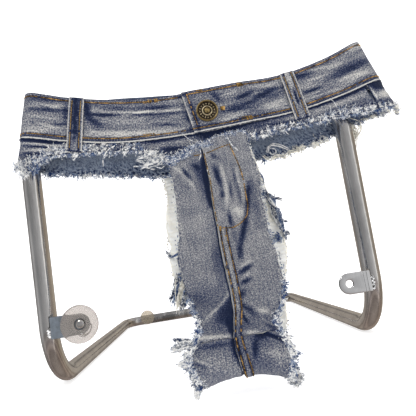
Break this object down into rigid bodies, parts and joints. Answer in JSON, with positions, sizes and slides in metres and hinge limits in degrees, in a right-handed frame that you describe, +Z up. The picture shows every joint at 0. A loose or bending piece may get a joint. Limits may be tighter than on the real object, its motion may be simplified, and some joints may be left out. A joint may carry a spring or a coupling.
{
  "type": "ripped denim micro shorts on a bent tube stand",
  "caption": "Ripped micro jeans shorts, a buttoned waistband with torn strips and a narrow centre panel, stretched over a free-standing stand of bent polished steel tube",
  "frame": {"origin": "on the floor under the middle of the bounding box", "axes": "+Z up, +X to the right of someone facing the button, +Y from the button towards the rear rail of the stand"},
  "size_m": [0.38, 0.5956, 0.285],
  "materials": {
    "washed_denim": "faded twill with worn white edges",
    "denim_inside": "slate wrong side of the denim",
    "cream_cotton": "ribbed cotton lining",
    "antique_brass": "antiqued, dark in the recesses",
    "polished_steel": "polished bare steel",
    "clear_rubber": "translucent beige"
  },
  "bodies": {
    "root": {"bend_lower_left": "polished_steel", "upright_left": "polished_steel", "bend_top_left": "polished_steel", "top_rail": "polished_steel", "bend_top_right": "polished_steel", "upright_right": "polished_steel", "bend_lower_right": "polished_steel", "side_rail_right": "polished_steel", "bend_rear_right": "polished_steel", "rear_rail": "polished_steel", "bend_rear_left": "polished_steel", "side_rail_left": "polished_steel", "tab_left": "polished_steel", "tab_right": "polished_steel", "bumper_screw": "polished_steel", "waistband_button_end": "washed_denim", "waistband_buttonhole_end": "washed_denim", "waistband_back": "washed_denim", "front_strip_left": "washed_denim", "front_strip_right": "washed_denim", "side_strip_right": "washed_denim", "front_panel_left": "washed_denim", "front_panel_right": "washed_denim", "seat_panel_left": "washed_denim", "seat_panel_right": "washed_denim", "belt_loop_front_left": "washed_denim", "belt_loop_front_right": "washed_denim", "belt_loop_back_left": "washed_denim", "belt_loop_back_middle": "washed_denim", "belt_loop_back_right": "washed_denim", "back_strip": "denim_inside", "seat_lining": "cream_cotton", "button": "antique_brass", "bumper_left": "clear_rubber", "bumper_rear_left": "clear_rubber", "bumper_rear_right": "clear_rubber"}
  },
  "joints": []
}
